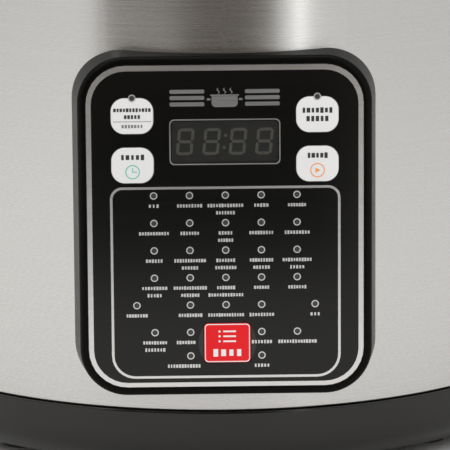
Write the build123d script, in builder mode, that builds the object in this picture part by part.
from build123d import *
from math import acos, cos, degrees, radians, sin
import os

# Electric pressure cooker, about five litres, in millimetres.
# Origin: on the table under the middle of the pot, +Z up, the key panel faces -Y.
# A steel jacket stands on a black base. A steel liner with a bayonet rim hangs inside it and
# holds the cooking pot over a heating plate. The lid drops in, turns clockwise and locks.

os.makedirs("parts", exist_ok=True)

# ---------------------------------------------------------------- driving dimensions
jacket_r = 136.0  # outside of the brushed steel jacket
jacket_wall = 0.6
jacket_low = 27.0
jacket_top = 205.0
base_r = 137.4  # the black base stands a little proud of the jacket
base_low = 3.0
base_wall = 2.4
foot_ring_r = 112.0
cover_screw_r = 105.0
board_low = 12.0  # underside of the power board
chassis_z = 33.0  # underside of the chassis plate
chassis_t = 1.4
liner_in = 111.0
liner_t = 1.5
liner_low = 50.0
liner_ledge = 203.0  # the pot's rim hangs on this step
liner_mouth = 119.0  # inner radius above the step
liner_top = 219.5
liner_flange = 125.7
lug_in = 114.2  # the pot and the seal pass between the lugs
lug_count = 6
lug_arc = 27.0  # degrees that one bayonet lug covers
lug_turn = 180.0 / lug_count  # turn from open to locked
pot_out = 109.5
pot_wall = 1.8
pot_low = 60.4
pot_rim = 206.8
plate_top = 60.0  # top of the heating plate
element_r, element_tube = 60.0, 4.0
terminal_angles = [75, 105]
collar_r = 140.0
collar_top = 221.0
lid_r = 133.2
lid_low = 222.2  # the lid stands 1.2 over the collar
lid_shoulder = 230.5
lid_crown = 252.0
lid_wall = 2.6
lid_steel_low = 213.4
lid_steel_t = 2.0
lid_steel_dome = 222.0  # underside of the raised middle
valve_y = 75.0  # the steam valve stands behind the handle
float_x, float_y = -38.0, 58.0
handle_end, handle_top = 80.0, 290.0
handle_gap_end, handle_gap_top = 56.0, 275.0
handle_width = 30.0

# Key panel: places on it are (u, v), to the right of and above the middle of its printed face.
panel_z = 99.4
panel_front = 140.5  # distance of its flat rim from the pot's axis
face_w, face_h, face_r = 104.1, 123.8, 14.7  # the brushed black facing
rim = 3.3  # width of the rounded rim around the facing
draft = 8.0
face_depth, face_t = 0.4, 0.5  # the facing lies this far behind the rim
panel_wall = 2.2
key_w, key_h, key_r = 15.9, 13.6, 5.0
key_u, key_v_top, key_v_low = 34.7, 42.7, 23.9
menu_w, menu_h, menu_r = 17.6, 15.3, 1.6
menu_u, menu_v = 0.4, -44.9
key_gap = 0.25
window_w, window_h, window_r, window_v = 41.1, 16.9, 1.6, 32.6
light_pitch_u, light_pitch_v = 13.47, 10.56
light_top_v, light_last_step = 12.2, 9.2
light_r = 1.0
light_rows = (
    (-2, -1, 0, 1, 2),
    (-2, -1, 0, 1, 2),
    (-2, -1, 0, 1, 2),
    (-2, -1, 0, 1, 2),
    (-2.5, -1, 0, 1, 2.5),
    (-2, -1, 1, 2),
)
board_depth, board_t = 11.0, 1.6
board_screw_places = [(14, 50), (-14, 50), (41, -46), (-41, -46)]


def write(piece, name):
    piece.part.label = name
    export_step(piece.part, f"parts/{name}.step")


def turned(*points):
    """Revolves the closed outline of (radius, height) points about the pot's axis."""
    with BuildSketch(Plane.XZ) as outline:
        with BuildLine():
            Polyline(*points, close=True)
        make_face()
    revolve(outline.sketch, axis=Axis.Z)


def sector(inner, outer, low, high, middle, arc):
    """A block between two radii that covers arc degrees about the direction middle."""
    with BuildSketch(Plane.XZ.rotated((0, 0, middle - arc / 2))) as outline:
        with Locations(((inner + outer) / 2, (low + high) / 2)):
            Rectangle(outer - inner, high - low)
    revolve(outline.sketch, axis=Axis.Z, revolution_arc=arc)


def at(angle, radius, z=0.0):
    return (radius * cos(radians(angle)), radius * sin(radians(angle)), z)


def panel(depth):
    """The plane that lies depth behind the panel's rim, facing forwards."""
    return Plane(origin=(0, depth - panel_front, panel_z), x_dir=(1, 0, 0), z_dir=(0, -1, 0))


def light_places():
    rows = [
        (column * light_pitch_u, light_top_v - row * light_pitch_v)
        for row, columns in enumerate(light_rows)
        for column in columns
    ]
    last_v = light_top_v - (len(light_rows) - 1) * light_pitch_v - light_last_step
    rows += [(-light_pitch_u, last_v), (light_pitch_u, last_v)]
    return rows + [(-key_u, key_v_top + key_h / 2), (key_u, key_v_top + key_h / 2)]


lights = light_places()
small_keys = {
    "keep_warm_key": (-key_u, key_v_top),
    "delay_start_key": (key_u, key_v_top),
    "time_key": (-key_u, key_v_low),
    "start_key": (key_u, key_v_low),
}
foot_angles = [45, 135, 225, 315]
post_angles = [20, 110, 200, 290]
bracket_angles = [30, 150, 270]
lid_screw_angles = [10, 170, 270]


# ---------------------------------------------------------------- base
with BuildPart() as base_housing:
    lip_in, lip_out, inner_flange = 130.6, 133.1, 102.0
    top = jacket_low - 0.4
    with BuildSketch(Plane.XZ):
        with BuildLine():
            skirt = Line((base_r, top), (base_r, 17))
            Bezier((base_r, 17), (base_r, 7), (130, base_low), (120, base_low))
            floor = Polyline(
                (120, base_low), (inner_flange, base_low), (inner_flange, base_low + base_wall)
            )
            Line(floor @ 1, (119.6, base_low + base_wall))
            Bezier((119.6, base_low + base_wall), (128.4, base_low + base_wall), (135, 8.6), (135, 17))
            Polyline(
                (135, 17), (135, top - base_wall), (lip_in, top - base_wall), (lip_in, chassis_z),
                (lip_out, chassis_z), (lip_out, top), (base_r, top),
            )
        make_face()
    revolve(axis=Axis.Z)
    fillet(base_housing.edges().filter_by(GeomType.CIRCLE).group_by(Axis.Z)[-2][-1:], 0.5)
    with Locations([at(a, 118, base_low + base_wall - 1) for a in post_angles]):
        Cylinder(4, chassis_z - base_low - base_wall + 1, align=(Align.CENTER, Align.CENTER, Align.MIN))
    with Locations([at(a, 118, chassis_z) for a in post_angles]):
        Cylinder(1.25, 20, mode=Mode.SUBTRACT)
    with Locations([at(a, foot_ring_r, base_low) for a in foot_angles]):
        Cylinder(3, 12, mode=Mode.SUBTRACT)
    with PolarLocations(cover_screw_r, 6, start_angle=30):
        Cylinder(1.5, 12, mode=Mode.SUBTRACT)
write(base_housing, "base_housing")

with BuildPart() as bottom_cover:
    with BuildSketch(Plane.XY.offset(base_low + base_wall)):
        Circle(108)
        with PolarLocations(cover_screw_r, 6, start_angle=30):
            Circle(1.5, mode=Mode.SUBTRACT)
        for ring_r, slots in ((52, 12), (68, 18), (84, 18)):
            with PolarLocations(ring_r, slots, start_angle=5):
                SlotOverall(10, 3.2, mode=Mode.SUBTRACT)
    extrude(amount=1.2)
    with BuildSketch(Plane.XY.offset(base_low + base_wall)):
        with GridLocations(84, 50, 2, 2):
            Circle(3)
    extrude(amount=board_low - base_low - base_wall)
write(bottom_cover, "bottom_cover")

with BuildPart() as rubber_feet:
    with Locations([at(a, foot_ring_r, 0) for a in foot_angles]):
        Cone(8, 7, base_low, align=(Align.CENTER, Align.CENTER, Align.MIN))
        Cylinder(2.9, base_low + 5, align=(Align.CENTER, Align.CENTER, Align.MIN))
write(rubber_feet, "rubber_feet")

# ---------------------------------------------------------------- jacket
with BuildPart() as steel_jacket:
    hem = 2.6
    with BuildSketch(Plane.XZ):
        with BuildLine():
            Polyline(
                (jacket_r - hem, jacket_low), (jacket_r, jacket_low), (jacket_r, jacket_top),
                (jacket_r - hem, jacket_top), (jacket_r - hem, jacket_top - jacket_wall),
                (jacket_r - jacket_wall, jacket_top - jacket_wall),
                (jacket_r - jacket_wall, jacket_low + jacket_wall),
                (jacket_r - hem, jacket_low + jacket_wall),
                close=True,
            )
        hem_face = make_face()
        fillet(hem_face.vertices().group_by(Axis.X)[-1], 0.55)
    revolve(axis=Axis.Z)
    with BuildSketch(panel(-8)):
        RectangleRounded(94.6, 114.6, 10.3)
    extrude(amount=-40, mode=Mode.SUBTRACT)
    with BuildSketch(Plane.XZ.offset(-150)):
        with Locations((0, 46)):
            RectangleRounded(28, 20.6, 1.5)
    extrude(amount=40, mode=Mode.SUBTRACT)
write(steel_jacket, "steel_jacket")

# ---------------------------------------------------------------- chassis, liner and heater
with BuildPart() as chassis_plate:
    with BuildSketch(Plane.XY.offset(chassis_z)):
        Circle(129)
        Circle(22, mode=Mode.SUBTRACT)
        with Locations([at(a, 118) for a in post_angles]):
            Circle(1.6, mode=Mode.SUBTRACT)
        with Locations([at(a, element_r) for a in terminal_angles]):
            Circle(5, mode=Mode.SUBTRACT)
        with PolarLocations(90, 9, start_angle=10):
            SlotOverall(24, 8, mode=Mode.SUBTRACT)
        with Locations((24, -116)):
            Rectangle(20, 6, mode=Mode.SUBTRACT)
        with Locations((0, 104)):
            RectangleRounded(30, 12, 3, mode=Mode.SUBTRACT)
    extrude(amount=chassis_t)
write(chassis_plate, "chassis_plate")

with BuildPart() as base_screws:
    with Locations([at(a, 118, chassis_z + chassis_t) for a in post_angles]):
        Cylinder(2.8, 1.6, align=(Align.CENTER, Align.CENTER, Align.MIN))
        Cylinder(1.2, 9, align=(Align.CENTER, Align.CENTER, Align.MAX))
    with PolarLocations(cover_screw_r, 6, start_angle=30):
        with Locations((0, 0, base_low - 1.5)):
            Cylinder(2.8, 1.5, align=(Align.CENTER, Align.CENTER, Align.MIN))
            Cylinder(1.4, 8, align=(Align.CENTER, Align.CENTER, Align.MIN))
            Box(3.4, 0.8, 1.4, mode=Mode.SUBTRACT)
            Box(0.8, 3.4, 1.4, mode=Mode.SUBTRACT)
write(base_screws, "base_screws")

with BuildPart() as liner_brackets:
    deck = chassis_z + chassis_t
    for angle in bracket_angles:
        with BuildSketch(Plane.XZ.rotated((0, 0, angle)).offset(-9)):
            with BuildLine():
                Polyline(
                    (112, deck), (96, deck), (96, liner_low), (106, liner_low),
                    (106, liner_low - 1.5), (97.5, liner_low - 1.5), (97.5, deck + 1.5),
                    (112, deck + 1.5), close=True,
                )
            make_face()
        extrude(amount=18)
write(liner_brackets, "liner_brackets")

with BuildPart() as outer_pot:
    wall_out, mouth_out = liner_in + liner_t, liner_mouth + liner_t
    turned(
        (88, liner_low), (wall_out, liner_low), (wall_out, liner_ledge), (mouth_out, liner_ledge),
        (mouth_out, liner_top - liner_t), (liner_flange, liner_top - liner_t), (liner_flange, liner_top),
        (liner_mouth, liner_top), (liner_mouth, liner_ledge + liner_t),
        (liner_in, liner_ledge + liner_t), (liner_in, liner_low + liner_t), (88, liner_low + liner_t),
    )
    for k in range(lug_count):
        sector(lug_in, liner_mouth + 0.5, liner_top - 2.5, liner_top, 360 / lug_count * k, lug_arc)
write(outer_pot, "outer_pot")

with BuildPart() as heat_shield:
    with BuildSketch(Plane.XY.offset(chassis_z + chassis_t)):
        Circle(122.3)
        Circle(121.7, mode=Mode.SUBTRACT)
    extrude(amount=170)
    with Locations((0, 122, 46)):
        Box(36, 20, 28, mode=Mode.SUBTRACT)
    with Locations((24, -120, 48)):
        Box(24, 20, 30, mode=Mode.SUBTRACT)
    with PolarLocations(122, 24, start_angle=7.5):
        with Locations((0, 0, 185)):
            Cylinder(3, 8, rotation=(0, 90, 0), mode=Mode.SUBTRACT)
write(heat_shield, "heat_shield")

with BuildPart() as heating_plate:
    turned((17, 51), (86, 51), (86, plate_top - 1.2), (84.8, plate_top), (18, plate_top), (17, plate_top - 1))
write(heating_plate, "heating_plate")

with BuildPart() as heating_element:
    element_z = 51 - element_tube
    with BuildSketch(Plane.XZ.rotated((0, 0, terminal_angles[1]))):
        with Locations((element_r, element_z)):
            Circle(element_tube)
    revolve(axis=Axis.Z, revolution_arc=330)
    with Locations([at(a, element_r, element_z) for a in terminal_angles]):
        Cylinder(2.2, 15, align=(Align.CENTER, Align.CENTER, Align.MAX))
write(heating_element, "heating_element")

with BuildPart() as heater_posts:
    with PolarLocations(76, 3, start_angle=30):
        with Locations((0, 0, chassis_z + chassis_t)):
            Cylinder(4, 51 - chassis_z - chassis_t, align=(Align.CENTER, Align.CENTER, Align.MIN))
write(heater_posts, "heater_posts")

with BuildPart() as sensor_holder:
    turned((3.4, 38), (16, 38), (16, 36), (24, 36), (24, 34.4), (14.5, 34.4), (14.5, 36.5), (3.4, 36.5))
write(sensor_holder, "sensor_holder")

with BuildPart() as temperature_sensor:
    turned(
        (0, 60.1), (12.8, 60.1), (14, 58.9), (14, 51), (13, 51), (13, 58.4), (6, 58.4),
        (6, 54), (3, 54), (3, 34), (0, 34),
    )
write(temperature_sensor, "temperature_sensor")

with BuildPart() as sensor_spring:
    with BuildLine():
        coil = Helix(pitch=4.0, height=18, radius=8, center=(0, 0, 39))
    with BuildSketch(Plane(origin=coil @ 0, z_dir=coil % 0)):
        Circle(0.6)
    sweep()
write(sensor_spring, "sensor_spring")

with BuildPart() as thermal_fuse:
    with Locations((0, 70, 45.8)):
        Cylinder(2.4, 24, rotation=(0, 90, 0))
    with Locations((0, 70, 49.6)):
        Box(8, 9, 2.8)
write(thermal_fuse, "thermal_fuse")

# ---------------------------------------------------------------- pot
with BuildPart() as inner_pot:
    pot_in, pot_floor, bend = pot_out - pot_wall, pot_low + 2, 12.0
    with BuildSketch(Plane.XZ):
        with BuildLine():
            Line((0, pot_low), (pot_out - bend, pot_low))
            outside = JernArc((pot_out - bend, pot_low), (1, 0), bend, 90)
            Polyline(
                outside @ 1, (pot_out, pot_rim - pot_wall), (lug_in - 0.4, pot_rim - pot_wall),
                (lug_in - 0.4, pot_rim), (pot_in, pot_rim), (pot_in, pot_low + bend),
            )
            inside = JernArc((pot_in, pot_low + bend), (0, -1), bend - 2, -90)
            Polyline(inside @ 1, (0, pot_floor), (0, pot_low))
        make_face()
    revolve(axis=Axis.Z)
    fillet(inner_pot.edges().filter_by(GeomType.CIRCLE).group_by(SortBy.RADIUS)[-1], 0.7)
write(inner_pot, "inner_pot")

# ---------------------------------------------------------------- collar and side grips
spout_y = 147.0
cup_in_y, cup_out_y = 140.6, 162.0
cup_top, cup_low = 204.6, 158.0
with BuildPart() as top_collar:
    with BuildSketch(Plane.XZ):
        with BuildLine():
            Polyline(
                (136.4, 202), (collar_r, 202), (collar_r, collar_top), (131.5, collar_top),
                (131.5, 214), (127.8, 214), (127.8, 219.6), (126, 219.6), (126, 217.95),
                (121.1, 217.95), (121.1, 215.5), (125.2, 215.5), (125.2, 211.8), (133.5, 211.8),
                (133.5, 218.6), (137.6, 218.6), (137.6, 205.3), (136.4, 205.3), close=True,
            )
        ring_face = make_face()
        fillet(ring_face.vertices().filter_by_position(Axis.X, 139.9, 140.1).sort_by(Axis.Y)[-1], 3.5)
    revolve(axis=Axis.Z)
    with BuildSketch(Plane.XY.offset(206)):
        with Locations((0, 147)):
            RectangleRounded(70, 26, 7)
        Circle(collar_r - 0.5, mode=Mode.SUBTRACT)
    extrude(amount=13.5)
    with Locations((0, (128 + spout_y + 4) / 2, 216.2)):
        Box(10, spout_y + 4 - 128, 4.4, mode=Mode.SUBTRACT)
    with Locations((0, spout_y, 210)):
        Cylinder(4, 12, mode=Mode.SUBTRACT)
    for side in (1, -1):
        with BuildSketch(Plane.XZ.offset(-cup_in_y - 1.8)):
            with BuildLine():
                Polyline(
                    (side * 34, 206.2), (side * 34, 200.6), (side * 29.2, 200.6), (side * 29.2, 202.6),
                    (side * 32, 202.6), (side * 32, 206.2), close=True,
                )
            make_face()
        extrude(amount=-16.8)
write(top_collar, "top_collar")

grip_low, grip_top = 199.0, 217.5
for side, name in ((1, "right_grip"), (-1, "left_grip")):
    with BuildPart() as grip:
        with BuildSketch(Plane.XY.offset(grip_low)):
            with Locations((side * 146, 0)):
                RectangleRounded(48, 88, 20)
            Circle(collar_r, mode=Mode.SUBTRACT)
        extrude(amount=grip_top - grip_low)
        fillet(grip.faces().sort_by(Axis.Z)[-1].edges().filter_by(GeomType.CIRCLE, reverse=True), 3.5)
        with BuildSketch(Plane.XY.offset(grip_low)):
            with Locations((side * 146, 0)):
                RectangleRounded(41, 81, 16.5)
            Circle(collar_r + 3, mode=Mode.SUBTRACT)
        extrude(amount=grip_top - grip_low - 3.5, mode=Mode.SUBTRACT)
    write(grip, name)

# ---------------------------------------------------------------- lid, the pressure side
with BuildPart() as inner_lid:
    with BuildSketch(Plane.XY.offset(208.6)):
        Circle(104)
        Circle(8, mode=Mode.SUBTRACT)
        with PolarLocations(46, 8):
            Circle(3, mode=Mode.SUBTRACT)
    extrude(amount=1.2)
write(inner_lid, "inner_lid")

with BuildPart() as sealing_ring:
    turned(
        (101, 207.1), (113.8, 207.1), (113.8, 209.6), (112, 212.8), (106, 212.8), (104.6, 211),
        (101, 211), (101, 209.8), (104, 209.8), (104, 208.6), (101, 208.6),
    )
write(sealing_ring, "sealing_ring")

with BuildPart() as inner_lid_grommet:
    turned(
        (4.4, 207.6), (11, 207.6), (11, 208.6), (8, 208.6), (8, 209.8), (11, 209.8),
        (11, 211.2), (4.4, 211.2),
    )
write(inner_lid_grommet, "inner_lid_grommet")

with BuildPart() as pressure_lid:
    low, high = lid_steel_low, lid_steel_low + lid_steel_t
    dome = lid_steel_dome
    turned(
        (4.1, dome), (83.5, dome), (96.5, low), (110.4, low), (110.4, high), (97.6, high),
        (84.6, dome + lid_steel_t), (4.1, dome + lid_steel_t),
    )
    for k in range(lug_count):
        sector(109.4, liner_mouth - 0.6, low, high, 360 / lug_count * k + lug_turn, lug_arc)
    with Locations((0, valve_y, dome)):
        Cylinder(4.2, 12, mode=Mode.SUBTRACT)
    with Locations((float_x, float_y, dome)):
        Cylinder(3.3, 12, mode=Mode.SUBTRACT)
    with Locations([at(a, 60, dome) for a in lid_screw_angles]):
        Cylinder(2.2, 12, mode=Mode.SUBTRACT)
write(pressure_lid, "pressure_lid")

with BuildPart() as lid_post:
    turned(
        (0, 205.4), (5.4, 205.4), (5.6, 206.4), (4, 207.4), (4, 212), (7, 212), (7, 222),
        (4, 222), (4, 230), (0, 230),
    )
write(lid_post, "lid_post")

with BuildPart() as lid_nuts:
    with BuildSketch(Plane.XY.offset(lid_steel_dome + lid_steel_t)):
        RegularPolygon(7.5, 6)
        Circle(4, mode=Mode.SUBTRACT)
        with Locations((0, valve_y)):
            RegularPolygon(7, 6)
            Circle(3.5, mode=Mode.SUBTRACT)
    extrude(amount=3.5)
write(lid_nuts, "lid_nuts")

with BuildPart() as steam_pipe:
    with Locations((0, valve_y, 219.4)):
        Cylinder(8, 2.5, align=(Align.CENTER, Align.CENTER, Align.MIN))
        Cylinder(3.5, 27, align=(Align.CENTER, Align.CENTER, Align.MIN))
        Cylinder(1.5, 80, mode=Mode.SUBTRACT)
write(steam_pipe, "steam_pipe")

with BuildPart() as steam_filter:
    with Locations((0, valve_y, 211.6)):
        Cylinder(10, 7.8, align=(Align.CENTER, Align.CENTER, Align.MIN))
    with Locations((0, valve_y, 212.6)):
        Cylinder(9, 7.8, align=(Align.CENTER, Align.CENTER, Align.MIN), mode=Mode.SUBTRACT)
    with Locations((0, valve_y, 211.6)):
        with PolarLocations(5, 6):
            Cylinder(1.2, 4, mode=Mode.SUBTRACT)
        with PolarLocations(10, 8):
            Box(4, 2, 9, mode=Mode.SUBTRACT)
write(steam_filter, "steam_filter")

# ---------------------------------------------------------------- lid, the outer cover
# The crown is part of a sphere, so its arc is centred on the pot's axis.
crown_edge, crown_edge_z = 127.0, 236.6
crown_sag = lid_crown - crown_edge_z
crown_r = (crown_edge**2 + crown_sag**2) / (2 * crown_sag)
crown_centre = lid_crown - crown_r


def crown_arc(radius, edge, centre=crown_centre):
    """The crown's arc, of this radius, from its edge up to the pot's axis."""
    start = degrees(acos(edge / radius))
    return CenterArc((0, centre), radius, start, 90 - start)


def under_crown(drop):
    """Everything under the lid's crown, lowered by drop."""
    with BuildPart() as body:
        with BuildSketch(Plane.XZ):
            with BuildLine():
                crown = crown_arc(crown_r, crown_edge, crown_centre - drop)
                foot = (lid_r, lid_shoulder - drop)
                ThreePointArc(crown @ 0, (lid_r - 1.8, lid_shoulder + 4.1 - drop), foot)
                Polyline(foot, (lid_r, 200), (0, 200), crown @ 1)
            make_face()
        revolve(axis=Axis.Z)
    return body.part


with BuildPart() as lid_bosses:
    with Locations([at(a, 60, lid_steel_dome + lid_steel_t + 0.1) for a in lid_screw_angles]):
        Cylinder(4.5, 30, align=(Align.CENTER, Align.CENTER, Align.MIN))
    with Locations((0, valve_y, 236)):
        Cylinder(21, 20, align=(Align.CENTER, Align.CENTER, Align.MIN))
    with Locations((float_x, float_y, 231)):
        Cylinder(6.2, 30, align=(Align.CENTER, Align.CENTER, Align.MIN))
    add(under_crown(lid_wall / 2), mode=Mode.INTERSECT)

with BuildPart() as lid_cover:
    inside_r = lid_r - lid_wall
    with BuildSketch(Plane.XZ):
        with BuildLine():
            crown = crown_arc(crown_r, crown_edge)
            hollow = crown_arc(crown_r - lid_wall, crown_edge - 1)
            Line(crown @ 1, hollow @ 1)
            ThreePointArc(crown @ 0, (lid_r - 1.8, lid_shoulder + 4.1), (lid_r, lid_shoulder))
            ThreePointArc(hollow @ 0, (inside_r - 1.2, 233), (inside_r, lid_shoulder - 0.4))
            Polyline(
                (inside_r, lid_shoulder - 0.4), (inside_r, 224.8), (107, 224.8), (107, 215.6),
                (109.5, 215.6), (109.5, lid_low), (lid_r, lid_low), (lid_r, lid_shoulder),
            )
        make_face()
    revolve(axis=Axis.Z)
    add(lid_bosses.part)
    with Locations((0, valve_y, 238)):
        Cylinder(19, 30, align=(Align.CENTER, Align.CENTER, Align.MIN), mode=Mode.SUBTRACT)
    with Locations((0, valve_y, 236)):
        Cylinder(5.5, 12, mode=Mode.SUBTRACT)
    with Locations((float_x, float_y, 240)):
        Cylinder(3.7, 60, mode=Mode.SUBTRACT)
    with Locations([at(a, 60, 230) for a in lid_screw_angles]):
        Cylinder(2.05, 24, mode=Mode.SUBTRACT)
    with Locations((-68, 0, 240), (68, 0, 240)):
        Cylinder(2.1, 30, mode=Mode.SUBTRACT)
write(lid_cover, "lid_cover")

with BuildPart() as lid_band:
    turned((lid_r + 0.05, 223.4), (lid_r + 0.75, 223.4), (lid_r + 0.75, 229.8), (lid_r + 0.05, 229.8))
write(lid_band, "lid_band")

with BuildPart() as lid_screws:
    with Locations([at(a, 60, lid_steel_dome) for a in lid_screw_angles]):
        Cylinder(4, 1.8, align=(Align.CENTER, Align.CENTER, Align.MAX))
        Cylinder(2, 16, align=(Align.CENTER, Align.CENTER, Align.MIN))
    with Locations((-68, 0, 244.4), (68, 0, 244.4)):
        Cylinder(3.6, 1.8, align=(Align.CENTER, Align.CENTER, Align.MAX))
        Cylinder(1.55, 11.2, align=(Align.CENTER, Align.CENTER, Align.MIN))
write(lid_screws, "lid_screws")

# ---------------------------------------------------------------- lid handle
rise, gap_rise = handle_top - 246, handle_gap_top - 246
arc_r = (handle_end**2 + rise**2) / (2 * rise)
arc_centre_z = handle_top - arc_r
strip_w = 15.0
with BuildPart() as lid_handle:
    with BuildSketch(Plane.XZ.offset(-handle_width / 2)):
        with BuildLine():
            over = ThreePointArc((-handle_end, 246), (0, handle_top), (handle_end, 246))
            Polyline(over @ 1, (handle_end, 236), (handle_gap_end, 236), (handle_gap_end, 246))
            under = ThreePointArc((handle_gap_end, 246), (0, handle_gap_top), (-handle_gap_end, 246))
            Polyline(under @ 1, (-handle_gap_end, 236), (-handle_end, 236), over @ 0)
        make_face()
    extrude(amount=handle_width)
    long_edges = lid_handle.edges().filter_by(GeomType.CIRCLE)
    fillet(long_edges.sort_by(SortBy.RADIUS)[-2:], 5)
    fillet(long_edges.sort_by(SortBy.RADIUS)[:2], 3)
    add(under_crown(0), mode=Mode.SUBTRACT)
    with BuildSketch(Plane.XZ.offset(-strip_w / 2)):
        with Locations((0, arc_centre_z)):
            Circle(arc_r + 5)
            Circle(arc_r - 0.8, mode=Mode.SUBTRACT)
            with Locations((0, -38)):
                Rectangle(400, 2 * arc_r, mode=Mode.SUBTRACT)
    extrude(amount=strip_w, mode=Mode.SUBTRACT)
    with Locations((-68, 0, 240), (68, 0, 240)):
        Cylinder(1.6, 34, mode=Mode.SUBTRACT)
write(lid_handle, "lid_handle")

with BuildPart() as handle_strip:
    with BuildSketch(Plane.XZ.offset(-strip_w / 2 + 0.1)):
        with Locations((0, arc_centre_z)):
            Circle(arc_r + 0.15)
            Circle(arc_r - 0.75, mode=Mode.SUBTRACT)
            with Locations((0, -37.8)):
                Rectangle(400, 2 * arc_r, mode=Mode.SUBTRACT)
    extrude(amount=strip_w - 0.2)
write(handle_strip, "handle_strip")

# ---------------------------------------------------------------- valves
with BuildPart() as steam_valve_knob:
    with Locations((0, valve_y, 240)):
        Cylinder(14, 22, align=(Align.CENTER, Align.CENTER, Align.MIN))
    with BuildSketch(Plane.XY.offset(251.5)):
        with Locations((16, valve_y)):
            SlotOverall(34, 10)
    extrude(amount=8)
    fillet(steam_valve_knob.faces().sort_by(Axis.Z)[-1].edges(), 2)
    with Locations((0, valve_y, 240)):
        Cylinder(9.2, 17, align=(Align.CENTER, Align.CENTER, Align.MIN), mode=Mode.SUBTRACT)
write(steam_valve_knob, "steam_valve_knob")

with BuildPart() as steam_valve_weight:
    with Locations((0, valve_y, 241)):
        Cylinder(9.1, 15.9, align=(Align.CENTER, Align.CENTER, Align.MIN))
        Cylinder(3.9, 6, align=(Align.CENTER, Align.CENTER, Align.MIN), mode=Mode.SUBTRACT)
write(steam_valve_weight, "steam_valve_weight")

with BuildPart() as float_pin:
    with Locations((float_x, float_y, 215)):
        Cylinder(5.2, 1.8, align=(Align.CENTER, Align.CENTER, Align.MIN))
        Cylinder(2.9, 30.5, align=(Align.CENTER, Align.CENTER, Align.MIN))
    with Locations((float_x, float_y, lid_steel_dome + lid_steel_t + 0.3)):
        Cylinder(4.2, 0.9, align=(Align.CENTER, Align.CENTER, Align.MIN))
    fillet(float_pin.faces().sort_by(Axis.Z)[-1].edges(), 1)
write(float_pin, "float_pin")

with BuildPart() as float_seal:
    with Locations((float_x, float_y, 213.4)):
        Cylinder(6, 1.6, align=(Align.CENTER, Align.CENTER, Align.MIN))
write(float_seal, "float_seal")

# ---------------------------------------------------------------- condensate cup
cup_y = (cup_in_y + cup_out_y) / 2
with BuildPart() as condensate_cup:
    with BuildSketch(Plane.XY.offset(cup_low)):
        with Locations((0, cup_y)):
            RectangleRounded(56, cup_out_y - cup_in_y, 5)
    extrude(amount=cup_top - cup_low)
    fillet(condensate_cup.faces().sort_by(Axis.Z)[0].edges(), 3)
    with BuildSketch(Plane.XY.offset(cup_top - 1.6)):
        with Locations((0, cup_y)):
            RectangleRounded(62.6, cup_out_y - cup_in_y, 2)
    extrude(amount=1.6)
    with BuildSketch(Plane.XY.offset(cup_low + 1.8)):
        with Locations((0, cup_y)):
            RectangleRounded(52.6, cup_out_y - cup_in_y - 3.4, 3.3)
    extrude(amount=60, mode=Mode.SUBTRACT)
write(condensate_cup, "condensate_cup")

# ---------------------------------------------------------------- mains inlet
inlet_z, inlet_front = 46.0, 138.4
pin_places = [(-7, -2.5), (7, -2.5), (0, 1.4)]


def inlet(y):
    """The plane across the inlet at y, with its middle at the inlet's middle."""
    return Plane(origin=(0, y, inlet_z), x_dir=(1, 0, 0), z_dir=(0, -1, 0))


with BuildPart() as mains_inlet:
    with BuildSketch(inlet(inlet_front)):
        RectangleRounded(34, 26, 4)
    extrude(amount=8)
    with Locations((0, 0, inlet_z)):
        Cylinder(jacket_r + 0.02, 60, mode=Mode.SUBTRACT)
    with BuildSketch(inlet(inlet_front - 0.8)):
        RectangleRounded(27.4, 20, 1.5)
    extrude(amount=20)
    with BuildSketch(inlet(inlet_front + 1)):
        with BuildLine():
            Polyline((-12, -8), (12, -8), (12, 4), (8, 8.2), (-8, 8.2), (-12, 4), close=True)
        make_face()
    extrude(amount=17, mode=Mode.SUBTRACT)
    with BuildSketch(inlet(125)):
        with Locations(*pin_places):
            Rectangle(2, 4)
    extrude(amount=12, mode=Mode.SUBTRACT)
write(mains_inlet, "mains_inlet")

with BuildPart() as inlet_pins:
    with BuildSketch(inlet(134)):
        with Locations(*pin_places):
            Rectangle(2, 4)
    extrude(amount=21)
write(inlet_pins, "inlet_pins")

# ---------------------------------------------------------------- power board, between base and chassis
with BuildPart() as power_board:
    with BuildSketch(Plane.XY.offset(board_low)):
        Rectangle(96, 62)
    extrude(amount=1.6)
write(power_board, "power_board")

board_top = board_low + 1.6
with BuildPart() as relay:
    with Locations((30, 12, board_top)):
        Box(19, 15, 15.5, align=(Align.CENTER, Align.CENTER, Align.MIN))
write(relay, "relay")

with BuildPart() as transformer:
    with Locations((-28, 6, board_top)):
        Box(26, 22, 15, align=(Align.CENTER, Align.CENTER, Align.MIN))
        Box(20, 30, 9, align=(Align.CENTER, Align.CENTER, Align.MIN))
write(transformer, "transformer")

with BuildPart() as capacitors:
    with Locations((0, -14, board_top), (11, -16, board_top)):
        Cylinder(4.5, 13, align=(Align.CENTER, Align.CENTER, Align.MIN))
    with Locations((2, 14, board_top)):
        Box(17, 7, 12, align=(Align.CENTER, Align.CENTER, Align.MIN))
write(capacitors, "capacitors")

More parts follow.
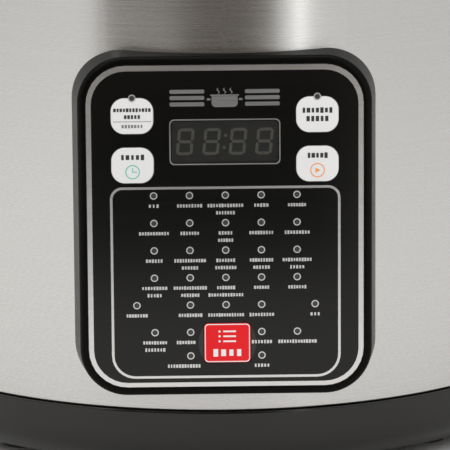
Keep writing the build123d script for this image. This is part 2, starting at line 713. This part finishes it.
# ---------------------------------------------------------------- key panel
with BuildPart() as panel_bezel:
    with BuildSketch(panel(0)):
        RectangleRounded(face_w + 2 * rim, face_h + 2 * rim, face_r + rim)
    extrude(amount=-19, taper=-draft)
    fillet(panel_bezel.faces().sort_by(Axis.Y)[0].edges(), 2.2)
    with BuildSketch(panel(face_depth + face_t + panel_wall)):
        RectangleRounded(face_w + 2 * rim - 5, face_h + 2 * rim - 5, face_r + rim - 2.5)
    extrude(amount=-17, mode=Mode.SUBTRACT)
    Cylinder(jacket_r + 0.03, 500, mode=Mode.SUBTRACT)
    with BuildSketch(panel(2.4)):
        RectangleRounded(94, 114, 10)
        RectangleRounded(90, 110, 8, mode=Mode.SUBTRACT)
    extrude(amount=-12)
    with BuildSketch(panel(-1)):
        RectangleRounded(face_w + 0.2, face_h + 0.2, face_r + 0.1)
    extrude(amount=-1 - face_depth - face_t, mode=Mode.SUBTRACT)
    with BuildSketch(panel(0)):
        with Locations(*small_keys.values()):
            RectangleRounded(key_w + 2 * key_gap, key_h + 2 * key_gap, key_r + key_gap)
        with Locations((menu_u, menu_v)):
            RectangleRounded(menu_w + 2 * key_gap, menu_h + 2 * key_gap, menu_r + key_gap)
        with Locations((0, window_v)):
            Rectangle(window_w - 1.4, window_h - 1.4)
        with Locations(*lights):
            Circle(light_r + 0.1)
    extrude(amount=-6, mode=Mode.SUBTRACT)
    with BuildSketch(panel(board_depth)):
        with Locations(*board_screw_places):
            Circle(2.6)
            Circle(1.05, mode=Mode.SUBTRACT)
    extrude(amount=board_depth - face_depth - face_t - panel_wall + 0.4)
write(panel_bezel, "panel_bezel")

with BuildPart() as panel_facing:
    with BuildSketch(panel(face_depth)):
        RectangleRounded(face_w, face_h, face_r)
        with Locations(*small_keys.values()):
            RectangleRounded(key_w + 2 * key_gap, key_h + 2 * key_gap, key_r + key_gap, mode=Mode.SUBTRACT)
        with Locations((menu_u, menu_v)):
            RectangleRounded(menu_w + 2 * key_gap, menu_h + 2 * key_gap, menu_r + key_gap, mode=Mode.SUBTRACT)
        with Locations((0, window_v)):
            RectangleRounded(window_w, window_h, window_r, mode=Mode.SUBTRACT)
        with Locations(*lights):
            Circle(light_r + 0.02, mode=Mode.SUBTRACT)
    extrude(amount=-face_t)
write(panel_facing, "panel_facing")

with BuildPart() as display_window:
    with BuildSketch(panel(face_depth)):
        with Locations((0, window_v)):
            RectangleRounded(window_w - 0.1, window_h - 0.1, window_r)
    extrude(amount=-face_t)
write(display_window, "display_window")

key_face, key_flange, key_stem = 0.3, 3.4, 5.9


def key(width, height, corner, u, v, notched):
    """A key cap with the flange that keeps it in the panel and the stem that works its switch."""
    with BuildSketch(panel(key_face)) as cap:
        with Locations((u, v)):
            RectangleRounded(width, height, corner)
    extrude(cap.sketch, amount=key_face - key_flange - 0.1)
    with BuildSketch(panel(key_flange)) as flange:
        with Locations((u, v)):
            RectangleRounded(width + 3.2, height + 3.2, corner + 1.6)
    extrude(flange.sketch, amount=-1.2)
    with BuildSketch(panel(key_flange + 1.1)) as stem:
        with Locations((u, v)):
            Circle(2.2)
    extrude(stem.sketch, amount=key_flange + 1.1 - key_stem)
    if notched:
        with BuildSketch(panel(-1)) as notch:
            with Locations((u, v + height / 2)):
                Circle(light_r + 0.4)
        extrude(notch.sketch, amount=-12, mode=Mode.SUBTRACT)


for name, (u, v) in small_keys.items():
    with BuildPart() as small_key:
        key(key_w, key_h, key_r, u, v, v == key_v_top)
        fillet(small_key.faces().sort_by(Axis.Y)[0].edges(), 0.25)
    write(small_key, name)

with BuildPart() as menu_key:
    key(menu_w, menu_h, menu_r, menu_u, menu_v, False)
    fillet(menu_key.faces().sort_by(Axis.Y)[0].edges(), 0.35)
write(menu_key, "menu_key")

with BuildPart() as light_pipes:
    with BuildSketch(panel(face_depth - 0.05)):
        with Locations(*lights):
            Circle(light_r)
    extrude(amount=-8.6)
write(light_pipes, "light_pipes")

with BuildPart() as indicator_leds:
    with BuildSketch(panel(board_depth - 1.7)):
        with Locations(*lights):
            Rectangle(2.6, 1.6)
    extrude(amount=-1.7)
write(indicator_leds, "indicator_leds")

with BuildPart() as display_module:
    with BuildSketch(panel(1.3)):
        with Locations((0, window_v)):
            Rectangle(window_w - 1.8, window_h - 1.8)
    extrude(amount=1.3 - board_depth)
write(display_module, "display_module")

digit_w, digit_h, digit_pitch, bar, lean = 6.2, 10.2, 9.9, 1.1, 6.0
with BuildPart() as display_digits:
    with BuildSketch(panel(1.15)):
        for k in range(4):
            with Locations(((k - 1.5) * digit_pitch, window_v)):
                for row in (1, 0, -1):
                    with Locations((row * digit_h / 2 * sin(radians(lean)), row * (digit_h - bar) / 2)):
                        SlotOverall(digit_w - bar - 0.4, bar)
                for side in (1, -1):
                    for row in (1, -1):
                        shift = row * digit_h / 4 * sin(radians(lean))
                        with Locations((side * (digit_w - bar) / 2 + shift, row * digit_h / 4)):
                            SlotOverall((digit_h - bar) / 2 - 0.5, bar, rotation=90 - lean)
        for row in (1, -1):
            with Locations((0.3 * row, window_v + row * 2.3)):
                Circle(0.6)
    extrude(amount=-0.15)
write(display_digits, "display_digits")

with BuildPart() as display_board:
    with BuildSketch(panel(board_depth)):
        RectangleRounded(88.6, 108.6, 7)
        with Locations(*board_screw_places):
            Circle(1.3, mode=Mode.SUBTRACT)
    extrude(amount=-board_t)
write(display_board, "display_board")

with BuildPart() as board_screws:
    with BuildSketch(panel(board_depth + board_t)):
        with Locations(*board_screw_places):
            Circle(2.4)
    extrude(amount=-1.5)
    with BuildSketch(panel(board_depth + board_t)):
        with Locations(*board_screw_places):
            Circle(1)
    extrude(amount=7)
write(board_screws, "board_screws")

with BuildPart() as key_switches:
    with BuildSketch(panel(board_depth)):
        with Locations(*small_keys.values(), (menu_u, menu_v)):
            Rectangle(6, 6)
    extrude(amount=3.4)
    with BuildSketch(panel(board_depth)):
        with Locations(*small_keys.values(), (menu_u, menu_v)):
            Circle(1.7)
    extrude(amount=4.2)
write(key_switches, "key_switches")
